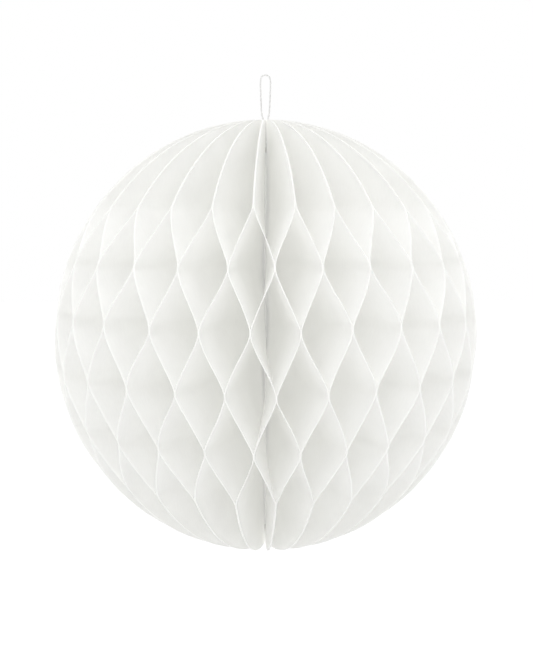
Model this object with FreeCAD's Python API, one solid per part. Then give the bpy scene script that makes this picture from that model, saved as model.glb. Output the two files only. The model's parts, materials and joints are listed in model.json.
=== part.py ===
"""Paper honeycomb ball, hung on a loop of twisted thread.

Fifty-four tissue leaves stand like pages round an upright spine. Each leaf is a half ellipse. It is
glued to one neighbour along three short lines and to the other neighbour along the three lines
between them, so the open ball is a honeycomb. Two card covers close the fan, back to back, at the rear.

Units are millimetres. +Z is up. The origin is where a hook bears inside the top of the hanging loop,
and the seam between the two covers lies at +Y.
"""
import FreeCAD, Part
import math
import os

from FreeCAD import Vector

# ---- the ball
BALL_RADIUS = 50.0            # leaf width, from the spine to the rim at mid height
BALL_HALF_HEIGHT = 51.0       # the ball is a little taller than it is wide
LOOP_HEIGHT = 10.2            # from the top of the ball up to the hook
BALL_CENTRE_Z = -(LOOP_HEIGHT + BALL_HALF_HEIGHT)

# ---- the tissue leaves
LEAF_COUNT = 54
LEAF_THICKNESS = 0.05
LEAF_INNER_RADIUS = 1.8
LEAF_TIP_WIDTH = 0.4          # width of a leaf where it ends above and below
GLUE_FILM = 0.02              # gap that the glue fills between two joined leaves
GLUE_PITCH = 12.5             # height from one glue level to the next
GLUE_LEVELS = 6
GLUE_LINE_HEIGHT = 1.5        # length of leaf that one glue line holds flat
STEPS_BETWEEN_LEVELS = 3      # facets of a leaf between two glue levels
STEPS_TO_POLE = 8             # facets of a leaf beyond the last glue level
CROWD_TWICE = 0.9             # degrees: the cells are narrower at the front and the rear
CROWD_THRICE = 1.7            # degrees: and narrower again at the front

# ---- the covers
CARD_THICKNESS = 0.15
CARD_INNER_RADIUS = 3.0
CARD_MARGIN = 0.6             # how far a cover stays inside the rim of the leaves
TAPE_THICKNESS = 0.06
TAPE_WIDTH = 5.0
TAPE_INSET = 1.5              # from the edge of the cover to the tape
TAPE_END = 12.0               # the tape stops this far short of the top and bottom
CUT_REACH = 5.0               # boxes that trim the covers and the tape reach this far from the seam

# ---- the spine
SLEEVE_OUTER_RADIUS = 1.7
SLEEVE_INNER_RADIUS = 1.3
SPINE_THREAD_RADIUS = 0.4
KNOT_RADIUS = 1.45
KNOT_HEIGHT = 1.6
KNOT_ROUNDING = 0.5
TOP_KNOT_DEPTH = 6.0          # from the top of the ball down to the upper knot
BOTTOM_KNOT_DEPTH = 3.0       # from the bottom of the ball up to the lower knot

# ---- the hanging loop
THREAD_DIAMETER = 0.4
TOP_BEND_RADIUS = 1.25        # of the thread's centre line where it goes over the hook
OUTER_CORNER = TOP_BEND_RADIUS * math.tan(math.radians(22.5))
BEND_CENTRE_HEIGHT = LOOP_HEIGHT + THREAD_DIAMETER / 2 - TOP_BEND_RADIUS

# Left half of the loop's route: distance from the axis and height above the top of the ball.
LOOP_LEFT = [
    (-0.35, -TOP_KNOT_DEPTH),
    (-0.35, -3.2),
    (-0.42, -0.1),
    (-0.98, 1.5),
    (-1.06, 5.2),
    (-TOP_BEND_RADIUS, BEND_CENTRE_HEIGHT + OUTER_CORNER),
    (-OUTER_CORNER, BEND_CENTRE_HEIGHT + TOP_BEND_RADIUS),
]
LOOP_RIGHT = [
    (OUTER_CORNER, BEND_CENTRE_HEIGHT + TOP_BEND_RADIUS),
    (TOP_BEND_RADIUS, BEND_CENTRE_HEIGHT + OUTER_CORNER),
    (1.10, 5.6),
    (0.94, 1.6),
    (0.44, -0.1),
    (0.35, -3.0),
    (0.35, -TOP_KNOT_DEPTH),
]


def save(shape, node):
    shape.exportStep(os.path.join("parts", node + ".step"))


# ---------------------------------------------------------------- leaves

def column_angle(column):
    """Angle of a column of glue lines, in degrees from the seam, counter-clockwise from above."""
    turn = 360.0 * column / LEAF_COUNT
    crowd = -CROWD_TWICE * math.sin(math.radians(2 * turn)) + CROWD_THRICE * math.sin(math.radians(3 * turn))
    return turn + crowd


def glue_heights():
    """Heights of the glue levels above the ball's centre, from the top down."""
    top = GLUE_PITCH * (GLUE_LEVELS - 1) / 2
    return [top - GLUE_PITCH * level for level in range(GLUE_LEVELS)]


def outline_radius(height):
    """Radius of the ball at a height above its centre."""
    return BALL_RADIUS * math.sqrt(1 - (height / BALL_HALF_HEIGHT) ** 2)


def leaf_stations():
    """Heights and swings down one leaf. A swing of -1 is at its first glue column and 1 at its second.

    The first, third and fifth levels glue an odd leaf to the leaf before it.
    """
    levels = glue_heights()
    half_line = GLUE_LINE_HEIGHT / 2
    tip_radius = LEAF_INNER_RADIUS + LEAF_TIP_WIDTH
    tip_height = BALL_HALF_HEIGHT * math.sqrt(1 - (tip_radius / BALL_RADIUS) ** 2)

    # Beyond the last glue level the stations are even in latitude, so that the rim stays round.
    first_latitude = math.asin((levels[0] + half_line) / BALL_HALF_HEIGHT)
    tip_latitude = math.asin(tip_height / BALL_HALF_HEIGHT)
    cap = []
    for step in range(STEPS_TO_POLE):
        share = step / STEPS_TO_POLE
        latitude = tip_latitude + (first_latitude - tip_latitude) * share
        cap.append(BALL_HALF_HEIGHT * math.sin(latitude))

    stations = [(height, -1.0) for height in cap]
    swing = -1.0
    for index, level in enumerate(levels):
        stations.append((level + half_line, swing))
        stations.append((level - half_line, swing))
        if index + 1 < len(levels):
            free = GLUE_PITCH - GLUE_LINE_HEIGHT
            for step in range(1, STEPS_BETWEEN_LEVELS):
                share = step / STEPS_BETWEEN_LEVELS
                stations.append((level - half_line - free * share, swing * (1 - 2 * share)))
            swing = -swing
    stations += [(-height, swing) for height in reversed(cap)]
    return stations


def glued_offset(column):
    """How far a leaf's middle surface stands off the plane of the column that it is glued in."""
    if column in (0, LEAF_COUNT):
        return TAPE_THICKNESS / 2 + CARD_THICKNESS + GLUE_FILM + LEAF_THICKNESS / 2
    return (LEAF_THICKNESS + GLUE_FILM) / 2


def leaf_points(number):
    """Four corners of the leaf at each station: inner and outer, each on the near and the far face."""
    first, second = column_angle(number - 1), column_angle(number)
    first_offset, second_offset = glued_offset(number - 1), -glued_offset(number)
    odd = number % 2 == 1
    rows = []
    for height, swing in leaf_stations():
        share = (1 + (swing if odd else -swing)) / 2
        angle = math.radians(90 + first + (second - first) * share)
        offset = first_offset + (second_offset - first_offset) * share
        out = Vector(math.cos(angle), math.sin(angle), 0)
        across = Vector(-math.sin(angle), math.cos(angle), 0)
        up = Vector(0, 0, BALL_CENTRE_Z + height)
        row = []
        for radius in (LEAF_INNER_RADIUS, outline_radius(height)):
            for face in (-0.5, 0.5):
                row.append(up + out * radius + across * (offset + face * LEAF_THICKNESS))
        rows.append(row)
    return rows


def strip(upper_a, upper_b, lower_a, lower_b):
    """Two flat triangles between stations, always split from the upper a to the lower b."""
    corners = ((upper_a, upper_b, lower_b), (upper_a, lower_b, lower_a))
    return [Part.Face(Part.makePolygon([a, b, c, a])) for a, b, c in corners]


def leaf(number):
    """One tissue leaf as a thin closed solid of flat facets.

    Both faces are split from the inner edge above to the outer edge below, so that they stay parallel.
    """
    rows = leaf_points(number)
    faces = []
    for upper, lower in zip(rows, rows[1:]):
        inner_near, inner_far, outer_near, outer_far = range(4)
        for a, b in ((inner_near, outer_near), (inner_far, outer_far),
                     (inner_near, inner_far), (outer_near, outer_far)):
            faces += strip(upper[a], upper[b], lower[a], lower[b])
    for inner_near, inner_far, outer_near, outer_far in (rows[0], rows[-1]):
        faces += strip(inner_near, inner_far, outer_near, outer_far)
    shell = Part.Shell(faces)
    shell.sewShape()
    solid = Part.Solid(shell)
    if solid.Volume < 0:
        solid.reverse()
    return solid


# ---------------------------------------------------------------- covers and tape

def half_ellipse_plate(inset, x_start, x_end, y_start):
    """Upright plate in the seam plane, inside the ball's outline by inset, from y_start outwards."""
    centre = Vector(0, 0, BALL_CENTRE_Z)
    tall = BALL_HALF_HEIGHT - inset
    wide = BALL_RADIUS - inset
    curve = Part.Ellipse(centre + Vector(0, 0, tall), centre + Vector(0, wide, 0), centre)
    face = Part.Face(Part.Wire([curve.toShape()]))
    face.translate(Vector(x_start, 0, 0))
    plate = face.extrude(Vector(x_end - x_start, 0, 0))
    keep = Part.makeBox(2 * CUT_REACH, BALL_RADIUS, 2 * BALL_HALF_HEIGHT,
                        Vector(-CUT_REACH, y_start, BALL_CENTRE_Z - BALL_HALF_HEIGHT))
    return plate.common(keep).Solids[0]


def card_cover(side):
    """Card cover on one side of the seam: side is -1 for the fixed cover and 1 for the moving one."""
    near = side * TAPE_THICKNESS / 2
    far = side * (TAPE_THICKNESS / 2 + CARD_THICKNESS)
    return half_ellipse_plate(CARD_MARGIN, min(near, far), max(near, far), CARD_INNER_RADIUS)


def tape_strip():
    """Double-sided tape that follows the rim of the covers and holds them back to back."""
    outer = half_ellipse_plate(CARD_MARGIN + TAPE_INSET, -TAPE_THICKNESS / 2, TAPE_THICKNESS / 2,
                               CARD_INNER_RADIUS)
    inner = half_ellipse_plate(CARD_MARGIN + TAPE_INSET + TAPE_WIDTH, -CUT_REACH, CUT_REACH, 0.0)
    height = 2 * (BALL_HALF_HEIGHT - TAPE_END)
    span = Part.makeBox(2 * CUT_REACH, BALL_RADIUS, height,
                        Vector(-CUT_REACH, 0, BALL_CENTRE_Z - height / 2))
    return outer.cut(inner).common(span).Solids[0]


# ---------------------------------------------------------------- spine

def knot(base_z):
    barrel = Part.makeCylinder(KNOT_RADIUS, KNOT_HEIGHT, Vector(0, 0, base_z))
    rims = [edge for edge in barrel.Edges if edge.Closed]
    return barrel.makeFillet(KNOT_ROUNDING, rims)


def spine_heights():
    """Underside of the upper knot and upper side of the lower knot."""
    upper = BALL_CENTRE_Z + BALL_HALF_HEIGHT - TOP_KNOT_DEPTH - KNOT_HEIGHT
    lower = BALL_CENTRE_Z - BALL_HALF_HEIGHT + BOTTOM_KNOT_DEPTH + KNOT_HEIGHT
    return upper, lower


def spine_thread():
    """The thread down the middle of the spine, with the knot at each end that keeps the sleeve on it."""
    upper, lower = spine_heights()
    shaft = Part.makeCylinder(SPINE_THREAD_RADIUS, upper - lower, Vector(0, 0, lower))
    return shaft.fuse([knot(upper), knot(lower - KNOT_HEIGHT)]).removeSplitter().Solids[0]


def spine_sleeve():
    """Paper binding rolled round the thread, which the inner edges of all the leaves are glued to."""
    upper, lower = spine_heights()
    base = Vector(0, 0, lower)
    outside = Part.makeCylinder(SLEEVE_OUTER_RADIUS, upper - lower, base)
    inside = Part.makeCylinder(SLEEVE_INNER_RADIUS, upper - lower, base)
    return outside.cut(inside).Solids[0]


# ---------------------------------------------------------------- hanging loop

def rounded_path(points):
    """Straight runs between the points, joined by the largest tangent arcs that the runs allow."""
    edges = []
    start = points[0]
    for before, corner, after in zip(points, points[1:], points[2:]):
        back = (before - corner).normalize()
        ahead = (after - corner).normalize()
        half_turn = (math.pi - back.getAngle(ahead)) / 2
        trim = 0.45 * min(before.distanceToPoint(corner), after.distanceToPoint(corner))
        radius = trim / math.tan(half_turn)
        print("loop bend radius %.2f mm" % radius)
        entry = corner + back * trim
        leave = corner + ahead * trim
        inward = (back + ahead).normalize()
        middle = corner + inward * (radius / math.cos(half_turn) - radius)
        edges.append(Part.LineSegment(start, entry).toShape())
        edges.append(Part.Arc(entry, middle, leave).toShape())
        start = leave
    edges.append(Part.LineSegment(start, points[-1]).toShape())
    return Part.Wire(edges)


def hang_loop():
    """Loop of thread, from the upper knot out of the top of the ball, over the hook and back."""
    top_z = BALL_CENTRE_Z + BALL_HALF_HEIGHT
    points = [Vector(across, 0, top_z + height) for across, height in LOOP_LEFT + LOOP_RIGHT]
    path = rounded_path(points)
    direction = (points[1] - points[0]).normalize()
    section = Part.Wire([Part.Circle(points[0], direction, THREAD_DIAMETER / 2).toShape()])
    tube = path.makePipeShell([section], True, True)
    expected = math.pi * THREAD_DIAMETER ** 2 / 4 * path.Length
    print("loop length %.1f mm, volume %.3f of %.3f mm3" % (path.Length, tube.Volume, expected))
    return tube


def main():
    os.makedirs("parts", exist_ok=True)
    for number in range(1, LEAF_COUNT + 1):
        save(leaf(number), "leaf_%02d" % number)
    save(card_cover(-1), "card_cover_fixed")
    save(card_cover(1), "card_cover_moving")
    save(tape_strip(), "closing_tape")
    save(spine_thread(), "spine_thread")
    save(spine_sleeve(), "spine_sleeve")
    save(hang_loop(), "hang_loop")


main()
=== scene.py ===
"""Looks of the paper honeycomb ball: tissue leaves, card covers, spine and hanging thread.

Metres, in the row frame: +Z up, the origin inside the top of the hanging loop, the seam at +Y.
"""
import json
import math

import bpy
import numpy as np
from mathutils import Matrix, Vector


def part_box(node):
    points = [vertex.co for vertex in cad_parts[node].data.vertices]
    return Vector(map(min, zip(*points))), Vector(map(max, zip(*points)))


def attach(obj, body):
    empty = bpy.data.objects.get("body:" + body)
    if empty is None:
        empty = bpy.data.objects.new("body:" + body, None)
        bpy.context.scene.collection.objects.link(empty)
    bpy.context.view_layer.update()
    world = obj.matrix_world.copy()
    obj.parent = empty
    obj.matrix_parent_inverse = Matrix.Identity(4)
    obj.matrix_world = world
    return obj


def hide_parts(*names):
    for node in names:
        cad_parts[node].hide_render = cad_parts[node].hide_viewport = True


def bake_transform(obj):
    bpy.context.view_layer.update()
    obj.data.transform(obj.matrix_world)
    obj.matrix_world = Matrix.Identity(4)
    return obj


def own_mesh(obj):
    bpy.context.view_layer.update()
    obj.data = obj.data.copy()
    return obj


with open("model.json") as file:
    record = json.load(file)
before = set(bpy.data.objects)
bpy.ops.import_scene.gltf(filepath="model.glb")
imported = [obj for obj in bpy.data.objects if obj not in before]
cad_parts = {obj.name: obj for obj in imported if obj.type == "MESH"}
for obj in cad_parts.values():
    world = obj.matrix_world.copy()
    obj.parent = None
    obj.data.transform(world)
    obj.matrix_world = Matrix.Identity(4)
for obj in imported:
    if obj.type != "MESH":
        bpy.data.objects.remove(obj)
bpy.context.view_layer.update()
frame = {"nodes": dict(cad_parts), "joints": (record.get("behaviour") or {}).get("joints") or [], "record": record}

MM = 0.001

# ---- the ball, as the frame has it
JOINTS = {joint["name"]: joint for joint in frame["joints"]}
FOLD = JOINTS["fold"]
CENTRE = Vector(FOLD["pos_m"])
TOP = Vector(JOINTS["ball_spin"]["pos_m"])
LEAF_SHARE = {c["joint"]: c["ratio"] for c in frame["record"]["behaviour"]["couplings"]}
LEAF_COUNT = len(LEAF_SHARE)

BALL_RADIUS = 50.0 * MM
BALL_HALF_HEIGHT = TOP.z - CENTRE.z
GLUE_PITCH = 12.5 * MM
GLUE_LEVELS = 6
GLUE_LINE_HEIGHT = 1.5 * MM
CARD_FACE = 0.18 * MM          # from the seam plane to the face of a cover that its leaf is glued to

# ---- the visible leaves
LEAF_THICKNESS = 0.06 * MM
RIM_THICKNESS = 0.17 * MM      # the cut rim is fluffy, and so a little thicker
RIM_WIDTH = 0.6 * MM
RIM_SHARE = 0.4                # widest rim near the poles, as a share of the leaf's width there
RIM_SHAPE = ((0.55, 0.6), (0.15, 1.0), (0.0, 0.7))   # share of the rim's width, share of its swelling
RIM_CROWDING = 0.045           # thickest rim near the poles, as a share of its distance from the spine
GLUE_GAP = 0.005 * MM
GLUE_SOFTNESS = 0.2            # how far a leaf curves, instead of going straight from glue line to glue line
INNER_RADIUS = 1.8 * MM
POLE_INNER_RADIUS = 0.9 * MM   # round the thread at the top
BOTTOM_INNER_RADIUS = 0.7 * MM   # no thread comes out of the bottom
POLE_START = 4.4 * MM          # from the top or the bottom to where the inner edge starts to lean in
POLE_LEAN = 2.6 * MM           # height over which it does
TIP_WIDTH = 0.4 * MM
STATIONS = 150
RADIAL_STEPS = 12
RADIAL_CROWDING = 0.8          # under 1: the steps are wider near the spine

# ---- how hand-made it is
WANDER = math.radians(0.55)    # of the glue columns
WANDER_WAVES = ((0.50, 3, 70, 0.4), (0.35, 7, -120, 1.9), (0.30, 13, 160, 4.0))  # size, round, up, phase
LIFT = 1.0 * MM                # of the glue levels
LIFT_WAVES = ((0.25, 5, 60, 2.2), (0.18, 11, -90, 0.7))
LIFT_ANGLE = 1.5               # at a pole, in radians, so that the lift is nearly gone there
CRINKLE = 0.005                # of the distance from the spine, half way between two glue lines
CRINKLE_WAVES = (120, 210, 340)   # radians in a metre
CRINKLE_LEAN = 0.7             # most that a crease leans, in radians

# ---- thread, knots and sleeve
THREAD_DIAMETER = 0.4 * MM
THREAD_LAY = 2.2 * MM          # length of one full twist of the two plies
LAY_STEPS = 16                 # rings of points in one full twist
PLY_RING = 10                  # points round a ply
PLY_OFFSET = 0.22              # a ply's distance from the middle, as a share of the thread's diameter
PLY_SHAPE = (0.28, 0.33)       # half a ply's thickness and half its width, as shares of the same
PLY_APART = 3 * MM             # between the plies in the pattern of the material
SPINE_THREAD_DIAMETER = 0.7 * MM
SPINE_THREAD_LAY = 5 * SPINE_THREAD_DIAMETER
SPINE_REACH = 0.4 * MM         # how far the spine thread goes into each knot
KNOT_CORE_RADIUS = 0.95 * MM
KNOT_CORE_INSET = 0.05 * MM
KNOT_BELLY = 0.12 * MM
KNOT_WRAPS = 3
KNOT_OPEN = 0.6                # of a turn, by which the wraps fall short of KNOT_WRAPS
SLEEVE_TURNS = 2.6
SLEEVE_PAPER = 0.1 * MM
SLEEVE_PITCH = 1.2 * SLEEVE_PAPER   # from one turn of the roll to the next

# The loop's route: distance from the axis and height above the top of the ball.
LOOP_ROUTE = [
    (-0.35, -6.0), (-0.35, -3.2), (-0.42, -0.1), (-0.98, 1.5), (-1.06, 5.2), (-1.25, 9.668), (-0.518, 10.4),
    (0.518, 10.4), (1.25, 9.668), (1.10, 5.6), (0.94, 1.6), (0.44, -0.1), (0.35, -3.0), (0.35, -6.0),
]

# ---- camera: the view from a little above and a little to the left
CAMERA_DISTANCE = 0.25
CAMERA_RISE = math.radians(6.8)
CAMERA_TURN = math.radians(-2.6)
CAMERA_LENS = 56.0
CAMERA_SENSOR = 36.0
CAMERA_SHIFT = (1.0 / 666, 2.3 / 666)

# ---- light
FLOOR_Z = -0.4
FLOOR_REACH = 4.0
FILL_SIDE = 0.70
FILL_TOP = 1.42
KEY_PLACE = (-0.25, -0.75, 0.45)
KEY_SIZE = 0.5
KEY_WATTS = 0.5
FLOOR_WHITE = 0.6
FLOOR_GLOW_IN_PAINTED_SHADOW = 0.05
FLOOR_GLOW_FAR = 0.4
FLOOR_NEAR = 0.25
FLOOR_FAR = 0.55
BOUNCES = 32
TISSUE_PAINTED_GLOW = 0.11      # painted glow: emission that stands in for light that many layers of tissue scatter back and forth
CORE_PAINTED_GLOW = 0.17        # more painted glow beside the spine, where it is strongest, to lift the shade deep in the cells
CORE_REACH = 6 * MM     # distance from the spine at which it is down to the rest's
# painted glow of the rolled paper sleeve: emission that stands in for light
SLEEVE_PAINTED_GLOW = 0.10
TISSUE_DARK = (0.905, 0.905, 0.899)
TISSUE_LIGHT = (0.93, 0.93, 0.924)
# colour of the rim painted whiter: a painted highlight for the light its cut edge catches from both sides
RIM_PAINTED_HIGHLIGHT = (0.945, 0.945, 0.94)


def rng(seed):
    return np.random.default_rng(seed)


# ---------------------------------------------------------------- mesh helpers

def new_mesh(name, points, faces, flat_faces=0):
    """Mesh object that is smooth all over apart from its last flat_faces faces."""
    mesh = bpy.data.meshes.new(name)
    mesh.from_pydata([tuple(p) for p in points], [], faces)
    smooth = np.arange(len(faces)) < len(faces) - flat_faces
    mesh.polygons.foreach_set("use_smooth", smooth)
    mesh.validate()
    obj = bpy.data.objects.new(name, mesh)
    bpy.context.scene.collection.objects.link(obj)
    return obj


def add_vectors(obj, name, values):
    layer = obj.data.attributes.new(name, "FLOAT_VECTOR", "POINT")
    layer.data.foreach_set("vector", np.asarray(values, np.float32).ravel())


def add_values(obj, name, values):
    layer = obj.data.attributes.new(name, "FLOAT", "POINT")
    layer.data.foreach_set("value", np.asarray(values, np.float32).ravel())


def sheet_faces(rows, cols):
    """Faces of a closed thin sheet, and how many of them (the last ones) are its cut edge.

    Its points are one layer of rows by cols and then the other layer. The first layer is the one that
    faces the viewer who sees the rows run down the page and the columns run from left to right.
    """
    total = rows * cols
    index = np.arange(total).reshape(rows, cols)
    a, b, c, d = index[:-1, :-1], index[1:, :-1], index[1:, 1:], index[:-1, 1:]
    first = np.stack([a, b, c, d], -1).reshape(-1, 4)
    second = np.stack([a, d, c, b], -1).reshape(-1, 4) + total
    border = np.concatenate([index[:, 0], index[-1, 1:], index[-2::-1, -1], index[0, -2:0:-1]])
    after = np.roll(border, -1)
    edge = np.stack([border, border + total, after + total, after], -1)
    return np.concatenate([first, second, edge]).tolist(), len(edge)


# ---------------------------------------------------------------- leaves

def column_angles():
    """Angle from the seam of each column of glue lines. A leaf's share is the middle of its two columns."""
    columns = [0.0]
    for number in range(1, LEAF_COUNT + 1):
        middle = 360 * LEAF_SHARE["leaf_%02d_fold" % number]
        columns.append(2 * middle - columns[-1])
    return np.radians(columns)


COLUMNS = column_angles()


def swing(height):
    """-1 where the first glue column of an odd leaf holds it, 1 where its second does."""
    levels = GLUE_PITCH * ((GLUE_LEVELS - 1) / 2 - np.arange(GLUE_LEVELS))
    half = GLUE_LINE_HEIGHT / 2
    values = np.where(height > levels[0], -1.0, (-1.0) ** GLUE_LEVELS)
    sign = -1.0
    for upper, lower in zip(levels, levels[1:]):
        share = np.clip((upper - half - height) / (GLUE_PITCH - 2 * half), 0, 1)
        soft = share * share * (3 - 2 * share)
        share = (1 - GLUE_SOFTNESS) * share + GLUE_SOFTNESS * soft
        inside = (height <= upper) & (height > lower)
        values = np.where(inside, sign * (1 - 2 * share), values)
        sign = -sign
    return values


def waves(table, angle, height):
    return sum(size * np.sin(turns * angle + rise * height + phase) for size, turns, rise, phase in table)


def hand_made(angle, height):
    """Small smooth wander of the whole honeycomb, in radians and in metres. It is nothing at the seam."""
    window = np.sin(angle / 2) ** 2
    level = np.cos(height / BALL_HALF_HEIGHT * LIFT_ANGLE)
    return (WANDER * waves(WANDER_WAVES, angle, height) * window,
            LIFT * waves(LIFT_WAVES, angle, height) * window * level)


def crinkle(number, radius, height):
    """Soft creases of one leaf, about -1 to 1, different on every leaf."""
    dice = rng(number)
    total = 0 * radius
    for wave in CRINKLE_WAVES:
        lean, phase = dice.uniform(-CRINKLE_LEAN, CRINKLE_LEAN), dice.uniform(0, 2 * math.pi)
        total = total + np.sin(wave * (height * math.cos(lean) + radius * math.sin(lean)) + phase)
    return total / len(CRINKLE_WAVES)


def leaf_grid():
    """Heights above the centre and radii of a leaf's stations, and how far the rim has swollen, 0 to 1."""
    tip = BALL_HALF_HEIGHT * math.sqrt(1 - ((POLE_INNER_RADIUS + TIP_WIDTH) / BALL_RADIUS) ** 2)
    latitude = np.linspace(1, -1, STATIONS) * math.asin(tip / BALL_HALF_HEIGHT)
    height = BALL_HALF_HEIGHT * np.sin(latitude)
    outer = BALL_RADIUS * np.cos(latitude)
    near_pole = np.clip((np.abs(height) - (BALL_HALF_HEIGHT - POLE_START)) / POLE_LEAN, 0, 1)
    pole_inner = np.where(height > 0, POLE_INNER_RADIUS, BOTTOM_INNER_RADIUS)
    inner = INNER_RADIUS + (pole_inner - INNER_RADIUS) * near_pole
    inner = np.minimum(inner, outer - TIP_WIDTH / 2)
    rim = np.minimum(RIM_WIDTH, RIM_SHARE * (outer - inner))
    across = np.linspace(0, 1, RADIAL_STEPS + 1) ** RADIAL_CROWDING
    body = inner[:, None] + (outer - rim - inner)[:, None] * across
    edge = outer[:, None] - rim[:, None] * np.array([share for share, _ in RIM_SHAPE])
    radius = np.concatenate([body, edge], axis=1)
    swollen = np.array([0.0] * (RADIAL_STEPS + 1) + [share for _, share in RIM_SHAPE]) + 0 * radius
    return height[:, None] + 0 * radius, radius, swollen


HEIGHT, RADIUS, SWOLLEN = leaf_grid()


def leaf_surface(number):
    """Middle surface of a leaf, stations by radial steps, the direction across it and its thickness."""
    rim_limit = np.minimum(RIM_THICKNESS, RIM_CROWDING * RADIUS[:, -1:])
    thickness = LEAF_THICKNESS + np.maximum(rim_limit - LEAF_THICKNESS, 0) * SWOLLEN
    turn = swing(HEIGHT) if number % 2 else -swing(HEIGHT)
    share = (1 + turn) / 2
    first, second = COLUMNS[number - 1], COLUMNS[number]
    angle = first + (second - first) * share
    stand_off = (thickness + GLUE_GAP) / 2
    card = CARD_FACE * np.minimum(RADIUS / INNER_RADIUS, 1) ** 2
    first_offset = stand_off + (card if number == 1 else 0)
    second_offset = stand_off + (card if number == LEAF_COUNT else 0)
    offset = first_offset * (1 - share) - second_offset * share
    offset = offset + CRINKLE * RADIUS * (1 - turn ** 2) * crinkle(number, RADIUS, HEIGHT)
    wander, lift = hand_made(angle, HEIGHT)
    world = angle + wander + math.pi / 2
    tall = HEIGHT + lift * (RADIUS / BALL_RADIUS)
    out = np.stack([np.cos(world), np.sin(world), 0 * world], -1)
    side = np.stack([-np.sin(world), np.cos(world), 0 * world], -1)
    points = np.array(CENTRE) + out * RADIUS[..., None] + side * offset[..., None]
    points[..., 2] += tall
    return points, side, thickness[..., None]


def make_leaf(number):
    """A leaf as one thin closed mesh: its two faces and the edge all round."""
    points, side, thickness = leaf_surface(number)
    near = (points - side * thickness / 2).reshape(-1, 3)
    far = (points + side * thickness / 2).reshape(-1, 3)
    faces, cut_faces = sheet_faces(*points.shape[:2])
    leaf = new_mesh("tissue_leaf_%02d" % number, np.concatenate([near, far]), faces, cut_faces)
    sheet = np.stack([RADIUS, HEIGHT, 0.2 * number + 0 * RADIUS], -1).reshape(-1, 3)
    add_vectors(leaf, "sheet", np.concatenate([sheet, sheet]))
    # The rim's swelling also sets where the rim is painted whiter, as a painted highlight.
    add_values(leaf, "rim", np.concatenate([SWOLLEN.ravel(), SWOLLEN.ravel()]))
    return leaf


def place_leaf(leaf, number):
    """A leaf on its body, with a mesh of its own; the CAD leaf is hidden."""
    node = "leaf_%02d" % number
    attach(leaf, node)
    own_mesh(leaf)
    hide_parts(node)


# ---------------------------------------------------------------- thread

def smooth_line(route):
    """Points along the NURBS line that a route's points control."""
    curve = bpy.data.curves.new("route", "CURVE")
    curve.dimensions = "3D"
    curve.resolution_u = 24
    spline = curve.splines.new("NURBS")
    spline.points.add(len(route) - 1)
    for point, place in zip(spline.points, route):
        point.co = (*place, 1)
    spline.order_u = 3
    spline.use_endpoint_u = True
    holder = bpy.data.objects.new("route", curve)
    mesh = bpy.data.meshes.new_from_object(holder)
    line = np.array([v.co for v in mesh.vertices], float)
    bpy.data.meshes.remove(mesh)
    bpy.data.objects.remove(holder)
    bpy.data.curves.remove(curve)
    return line


def even_steps(line, step):
    along = np.concatenate([[0], np.cumsum(np.linalg.norm(np.diff(line, axis=0), axis=1))])
    at = np.linspace(0, along[-1], max(3, math.ceil(along[-1] / step)))
    return np.stack([np.interp(at, along, line[:, k]) for k in range(3)], 1), at


def twisted_plies(line, diameter, lay):
    """Two plies wound round a line: points, faces, and each point's place along and round its ply."""
    line, along = even_steps(line, lay / LAY_STEPS)
    ahead = np.gradient(line, axis=0)
    ahead /= np.linalg.norm(ahead, axis=1)[:, None]
    normal = np.zeros_like(line)
    start = Vector(ahead[0]).orthogonal().normalized()
    for i, direction in enumerate(ahead):
        start = (start - Vector(direction) * start.dot(Vector(direction))).normalized()
        normal[i] = start
    across = np.cross(ahead, normal)
    points, faces, marks = [], [], []
    ring = PLY_RING
    thick, wide = PLY_SHAPE
    angle = np.linspace(0, 2 * math.pi, ring, endpoint=False)
    for ply in range(2):
        twist = 2 * math.pi * along / lay + math.pi * ply
        outward = normal * np.cos(twist)[:, None] + across * np.sin(twist)[:, None]
        sideways = np.cross(ahead, outward)
        middle = line + outward * diameter * PLY_OFFSET
        base = ply * len(line) * ring
        for i in range(len(line)):
            for k in range(ring):
                bulge = outward[i] * math.cos(angle[k]) * thick + sideways[i] * math.sin(angle[k]) * wide
                points.append(middle[i] + bulge * diameter)
                marks.append((along[i], angle[k] * diameter / 2, ply * PLY_APART))
                if i + 1 < len(line):
                    here, beside = base + i * ring + k, base + i * ring + (k + 1) % ring
                    faces.append((here, beside, beside + ring, here + ring))
        faces.append(tuple(base + k for k in reversed(range(ring))))
        faces.append(tuple(base + (len(line) - 1) * ring + k for k in range(ring)))
    return points, faces, marks


def join(parts):
    """Several (points, faces, marks) as one."""
    points, faces, marks = [], [], []
    for some_points, some_faces, some_marks in parts:
        faces += [tuple(len(points) + v for v in face) for face in some_faces]
        points += list(some_points)
        marks += list(some_marks)
    return points, faces, marks


def thread_mesh(name, parts):
    points, faces, marks = join(parts)
    obj = new_mesh(name, points, faces)
    add_vectors(obj, "lay", marks)
    return obj


def make_loop():
    route = [(across * MM, 0.0, TOP.z + height * MM) for across, height in LOOP_ROUTE]
    line = smooth_line(route)
    loop = thread_mesh("twisted_loop", [twisted_plies(line, THREAD_DIAMETER, THREAD_LAY)])
    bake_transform(loop)
    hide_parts("hang_loop")
    return loop


def lathe(profile, ring=32):
    """Closed solid of revolution about the Z axis from (radius, z) pairs. The first and last radii are 0."""
    points = [(0, 0, profile[0][1])]
    for radius, z in profile[1:-1]:
        for k in range(ring):
            turn = 2 * math.pi * k / ring
            points.append((radius * math.cos(turn), radius * math.sin(turn), z))
    points.append((0, 0, profile[-1][1]))
    last = len(points) - 1
    faces = [(0, 1 + (k + 1) % ring, 1 + k) for k in range(ring)]
    for row in range(len(profile) - 3):
        for k in range(ring):
            here, beside = 1 + row * ring + k, 1 + row * ring + (k + 1) % ring
            faces.append((here, beside, beside + ring, here + ring))
    row = 1 + (len(profile) - 3) * ring
    faces += [(last, row + k, row + (k + 1) % ring) for k in range(ring)]
    return points, faces, [(0.0, 0.0, 0.0)] * len(points)


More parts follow.
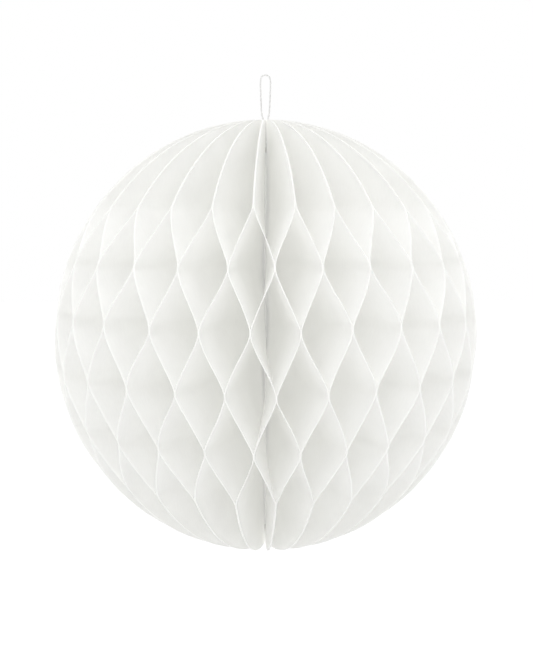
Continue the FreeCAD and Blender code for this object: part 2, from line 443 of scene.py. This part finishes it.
def wrapped_knot(low, high):
    """A knot between two heights: a soft core with turns of thread wound tight round it."""
    thick = (high - low) / KNOT_WRAPS
    steps = np.linspace(0, 1, 24 * KNOT_WRAPS)
    turn = 2 * math.pi * (KNOT_WRAPS - KNOT_OPEN) * steps
    belly = KNOT_CORE_RADIUS + KNOT_BELLY * np.sin(math.pi * steps)
    z = low + thick / 2 + (high - low - thick) * steps
    wraps = np.stack([belly * np.cos(turn), belly * np.sin(turn), z], 1)
    half, centre = (high - low) / 2 - KNOT_CORE_INSET, (low + high) / 2
    core = [(KNOT_CORE_RADIUS * math.sin(a), centre - half * math.cos(a))
            for a in np.linspace(0.5, math.pi - 0.5, 7)]
    core = [(0, low + KNOT_CORE_INSET), *core, (0, high - KNOT_CORE_INSET)]
    return join([twisted_plies(wraps, thick * 0.9, 2 * thick), lathe(core)])


def make_spine_thread():
    """The thread down the spine, with a wrapped knot at each end where the CAD has its knots."""
    low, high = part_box("spine_thread")
    sleeve_low, sleeve_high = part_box("spine_sleeve")
    heights = np.linspace(sleeve_low[2] - SPINE_REACH, sleeve_high[2] + SPINE_REACH, 40)
    shaft = np.array([(0, 0, z) for z in heights])
    parts = [twisted_plies(shaft, SPINE_THREAD_DIAMETER, SPINE_THREAD_LAY),
             wrapped_knot(low[2], sleeve_low[2]), wrapped_knot(sleeve_high[2], high[2])]
    spine = thread_mesh("spine_cord_and_knots", parts)
    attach(spine, "thread")
    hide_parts("spine_thread")
    return spine


def make_sleeve():
    """A strip of paper rolled round the spine thread, a few turns thick."""
    low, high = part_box("spine_sleeve")
    outer = high[0] - SLEEVE_PAPER / 2
    inner = outer - (SLEEVE_TURNS - 0.05) * SLEEVE_PITCH
    turns = np.linspace(0, SLEEVE_TURNS, int(48 * SLEEVE_TURNS))
    angle = 2 * math.pi * turns
    middle = inner + (outer - inner) * turns / SLEEVE_TURNS
    tall = np.linspace(high[2], low[2], 30)
    points = []
    for face in (0.5, -0.5):
        for z in tall:
            for a, r in zip(angle, middle + face * SLEEVE_PAPER):
                points.append((r * math.cos(a), r * math.sin(a), z))
    faces, cut_faces = sheet_faces(len(tall), len(angle))
    sleeve = new_mesh("rolled_paper_sleeve", points, faces, cut_faces)
    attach(sleeve, "ball")
    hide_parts("spine_sleeve")
    return sleeve


# ---------------------------------------------------------------- materials

def start_material(name):
    mat = bpy.data.materials.new(name)
    mat.use_nodes = True
    return mat, mat.node_tree, mat.node_tree.nodes["Principled BSDF"]


def noise(nt, vector, scale, detail=4.0, stretch=(1, 1, 1)):
    """Noise over a vector output, with the pattern drawn out where stretch is under 1. Returns its factor."""
    place = nt.nodes.new("ShaderNodeMapping")
    place.inputs["Scale"].default_value = stretch
    texture = nt.nodes.new("ShaderNodeTexNoise")
    texture.inputs["Scale"].default_value = scale
    texture.inputs["Detail"].default_value = detail
    nt.links.new(vector, place.inputs["Vector"])
    nt.links.new(place.outputs["Vector"], texture.inputs["Vector"])
    return texture.outputs["Fac"]


def ramp(nt, factor, low, high, start=0.3, end=0.7):
    """Colour from low to high as factor goes from start to end."""
    node = nt.nodes.new("ShaderNodeValToRGB")
    node.color_ramp.elements[0].position = start
    node.color_ramp.elements[0].color = (*low, 1)
    node.color_ramp.elements[1].position = end
    node.color_ramp.elements[1].color = (*high, 1)
    nt.links.new(factor, node.inputs["Fac"])
    return node.outputs["Color"]


def spread(nt, factor, low, high):
    """A number from low to high as factor goes from 0.3 to 0.7."""
    node = nt.nodes.new("ShaderNodeMapRange")
    node.inputs["From Min"].default_value = 0.3
    node.inputs["From Max"].default_value = 0.7
    node.inputs["To Min"].default_value = low
    node.inputs["To Max"].default_value = high
    nt.links.new(factor, node.inputs["Value"])
    return node.outputs["Result"]


def fade(nt, value, between, levels):
    """A number that goes smoothly from one level to the other as value goes from one bound to the other."""
    node = nt.nodes.new("ShaderNodeMapRange")
    node.interpolation_type = "SMOOTHSTEP"
    node.inputs["From Min"].default_value, node.inputs["From Max"].default_value = between
    node.inputs["To Min"].default_value, node.inputs["To Max"].default_value = levels
    nt.links.new(value, node.inputs["Value"])
    return node.outputs["Result"]


def bump(nt, heights, distance):
    """Normal from a list of (height output, strength), each laid over the one before."""
    normal = None
    for height, strength in heights:
        node = nt.nodes.new("ShaderNodeBump")
        node.inputs["Strength"].default_value = strength
        node.inputs["Distance"].default_value = distance
        nt.links.new(height, node.inputs["Height"])
        if normal is not None:
            nt.links.new(normal, node.inputs["Normal"])
        normal = node.outputs["Normal"]
    return normal


def attribute(nt, name, output="Vector"):
    node = nt.nodes.new("ShaderNodeAttribute")
    node.attribute_name = name
    return node.outputs[output]


def object_place(nt):
    return nt.nodes.new("ShaderNodeTexCoord").outputs["Object"]


def tissue_material():
    """Thin white tissue: cloudy formation, long fine fibres, light through it, a fluffy rim painted whiter as a
    painted highlight, and a painted glow for light scattered between the leaves.
    """
    mat, nt, base = start_material("white_tissue")
    link = nt.links.new
    sheet = attribute(nt, "sheet")
    cloud = noise(nt, sheet, 160, 3)
    fibre = noise(nt, sheet, 2600, 5, (1, 0.22, 1))
    paper = ramp(nt, fibre, TISSUE_DARK, TISSUE_LIGHT)
    # Painted highlight: the colour goes towards a whiter one as the rim swells.
    edge = nt.nodes.new("ShaderNodeMix")
    edge.data_type = "RGBA"
    edge.inputs["B"].default_value = (*RIM_PAINTED_HIGHLIGHT, 1)
    link(attribute(nt, "rim", "Fac"), edge.inputs["Factor"])
    link(paper, edge.inputs["A"])
    normal = bump(nt, ((cloud, 0.25), (fibre, 0.2)), 0.1 * MM)
    base.inputs["Roughness"].default_value = 0.85
    base.inputs["Specular IOR Level"].default_value = 0.15
    # Painted glow: emission that stands in for scattered light, stronger beside the spine to lift the shade there.
    base.inputs["Emission Color"].default_value = (1.0, 1.0, 0.99, 1)
    split = nt.nodes.new("ShaderNodeSeparateXYZ")
    link(sheet, split.inputs["Vector"])
    link(fade(nt, split.outputs["X"], (INNER_RADIUS, CORE_REACH), (CORE_PAINTED_GLOW, TISSUE_PAINTED_GLOW)),
         base.inputs["Emission Strength"])
    back = nt.nodes.new("ShaderNodeBsdfTranslucent")
    mix = nt.nodes.new("ShaderNodeMixShader")
    link(spread(nt, cloud, 0.42, 0.58), mix.inputs[0])
    for shader in (base, back):
        link(normal, shader.inputs["Normal"])
    link(edge.outputs["Result"], base.inputs["Base Color"])
    link(edge.outputs["Result"], back.inputs["Color"])
    link(base.outputs["BSDF"], mix.inputs[1])
    link(back.outputs["BSDF"], mix.inputs[2])
    link(mix.outputs["Shader"], nt.nodes["Material Output"].inputs["Surface"])
    return mat


def paper_material(name, dark, light, painted_glow=0.0, grain=900, rough=0.8):
    """Uncoated card or paper: fine speckle and soft blotches in the colour, and a fibrous bump."""
    mat, nt, base = start_material(name)
    place = object_place(nt)
    blotch = noise(nt, place, 220, 3)
    speckle = noise(nt, place, grain * 4, 6, (1, 1, 0.35))
    half = nt.nodes.new("ShaderNodeMix")
    half.inputs["Factor"].default_value = 0.5
    nt.links.new(blotch, half.inputs["A"])
    nt.links.new(speckle, half.inputs["B"])
    nt.links.new(ramp(nt, half.outputs["Result"], dark, light, 0.38, 0.62), base.inputs["Base Color"])
    nt.links.new(spread(nt, speckle, rough - 0.08, rough + 0.08), base.inputs["Roughness"])
    nt.links.new(bump(nt, ((blotch, 0.15), (speckle, 0.3)), 0.05 * MM), base.inputs["Normal"])
    base.inputs["Specular IOR Level"].default_value = 0.3
    base.inputs["Emission Color"].default_value = (1.0, 1.0, 0.99, 1)
    # Painted glow: emission that stands in for light. Only the sleeve has any.
    base.inputs["Emission Strength"].default_value = painted_glow
    return mat


def thread_material():
    """White cotton: fine filaments that run at a slant round each ply, and a soft sheen."""
    mat, nt, base = start_material("white_cotton_thread")
    lay = attribute(nt, "lay")
    filament = noise(nt, lay, 9000, 3, (0.12, 1, 1))
    fluff = noise(nt, lay, 2500, 4)
    nt.links.new(ramp(nt, filament, (0.66, 0.66, 0.65), (0.9, 0.9, 0.89)), base.inputs["Base Color"])
    nt.links.new(spread(nt, fluff, 0.75, 0.95), base.inputs["Roughness"])
    nt.links.new(bump(nt, ((fluff, 0.3), (filament, 0.6)), 0.03 * MM), base.inputs["Normal"])
    base.inputs["Sheen Weight"].default_value = 0.3
    base.inputs["Sheen Roughness"].default_value = 0.4
    base.inputs["Specular IOR Level"].default_value = 0.25
    return mat


def floor_material():
    """A pale glowing sweep: its glow is turned down under the ball, a painted soft shadow, and it is white further
    off.
    """
    mat, nt, base = start_material("pale_floor")
    base.inputs["Base Color"].default_value = (FLOOR_WHITE, FLOOR_WHITE, FLOOR_WHITE, 1)
    base.inputs["Roughness"].default_value = 0.9
    base.inputs["Emission Color"].default_value = (1, 1, 1, 1)
    away = nt.nodes.new("ShaderNodeVectorMath")
    away.operation = "DISTANCE"
    away.inputs[1].default_value = (0, 0, FLOOR_Z)
    nt.links.new(object_place(nt), away.inputs[0])
    # Painted shadow: less glow near the point under the ball, more further off.
    level = fade(nt, away.outputs["Value"], (FLOOR_NEAR, FLOOR_FAR), (FLOOR_GLOW_IN_PAINTED_SHADOW, FLOOR_GLOW_FAR))
    nt.links.new(level, base.inputs["Emission Strength"])
    return mat


def dress(obj, mat):
    obj.data.materials.clear()
    obj.data.materials.append(mat)


# ---------------------------------------------------------------- scene


def add_camera():
    data = bpy.data.cameras.new("camera")
    data.sensor_width = CAMERA_SENSOR
    data.lens = CAMERA_LENS
    cam = bpy.data.objects.new("camera", data)
    bpy.context.scene.collection.objects.link(cam)
    level = math.cos(CAMERA_RISE)
    back = Vector((math.sin(CAMERA_TURN) * level, -math.cos(CAMERA_TURN) * level, math.sin(CAMERA_RISE)))
    cam.location = CENTRE + back * CAMERA_DISTANCE
    cam.rotation_mode = "QUATERNION"
    cam.rotation_quaternion = (-back).to_track_quat("-Z", "Y")
    data.shift_x, data.shift_y = CAMERA_SHIFT
    data.clip_start = 0.01
    bpy.context.scene.camera = cam


def add_area(name, place, size, watts):
    data = bpy.data.lights.new(name, "AREA")
    data.shape = "SQUARE"
    data.size = size
    data.energy = watts
    light = bpy.data.objects.new(name, data)
    bpy.context.scene.collection.objects.link(light)
    light.location = place
    light.rotation_mode = "QUATERNION"
    light.rotation_quaternion = (CENTRE - Vector(place)).to_track_quat("-Z", "Y")


def add_world():
    """White all round for the camera. The light that falls on the ball is softer, and stronger from above."""
    world = bpy.data.worlds.new("studio")
    bpy.context.scene.world = world
    world.use_nodes = True
    nt = world.node_tree
    shown = nt.nodes["Background"]
    shown.inputs["Color"].default_value = (1, 1, 1, 1)
    shown.inputs["Strength"].default_value = 1.0
    fill = nt.nodes.new("ShaderNodeBackground")
    fill.inputs["Color"].default_value = (1, 1, 1, 1)
    coord = nt.nodes.new("ShaderNodeTexCoord")
    split = nt.nodes.new("ShaderNodeSeparateXYZ")
    rise = nt.nodes.new("ShaderNodeMapRange")
    rise.inputs["To Min"].default_value = FILL_SIDE
    rise.inputs["To Max"].default_value = FILL_TOP
    nt.links.new(coord.outputs["Generated"], split.inputs[0])
    nt.links.new(split.outputs["Z"], rise.inputs["Value"])
    nt.links.new(rise.outputs["Result"], fill.inputs["Strength"])
    ray = nt.nodes.new("ShaderNodeLightPath")
    mix = nt.nodes.new("ShaderNodeMixShader")
    nt.links.new(ray.outputs["Is Camera Ray"], mix.inputs[0])
    nt.links.new(fill.outputs[0], mix.inputs[1])
    nt.links.new(shown.outputs[0], mix.inputs[2])
    nt.links.new(mix.outputs[0], nt.nodes["World Output"].inputs["Surface"])
    scene = bpy.context.scene
    scene.view_settings.view_transform = "Standard"
    scene.cycles.diffuse_bounces = BOUNCES
    scene.cycles.transmission_bounces = BOUNCES
    scene.cycles.max_bounces = BOUNCES


add_camera()
thread = thread_material()
dress(make_loop(), thread)
dress(make_spine_thread(), thread)
dress(make_sleeve(), paper_material("rolled_paper", (0.90, 0.90, 0.88), (0.95, 0.95, 0.94), painted_glow=SLEEVE_PAINTED_GLOW))

tissue = tissue_material()
for number in range(1, LEAF_COUNT + 1):
    leaf = make_leaf(number)
    dress(leaf, tissue)
    place_leaf(leaf, number)

card = paper_material("white_card", (0.86, 0.86, 0.84), (0.93, 0.93, 0.915))
tape = paper_material("tissue_tape", (0.80, 0.78, 0.68), (0.88, 0.86, 0.77), grain=2000, rough=0.45)
dress(frame["nodes"]["card_cover_fixed"], card)
dress(frame["nodes"]["card_cover_moving"], card)
dress(frame["nodes"]["closing_tape"], tape)

floor = new_mesh("floor", [(x * FLOOR_REACH, y * FLOOR_REACH, FLOOR_Z)
                           for x, y in ((-1, -1), (1, -1), (1, 1), (-1, 1))], [(0, 1, 2, 3)])
floor.data.materials.append(floor_material())
add_world()
add_area("key", KEY_PLACE, KEY_SIZE, KEY_WATTS)
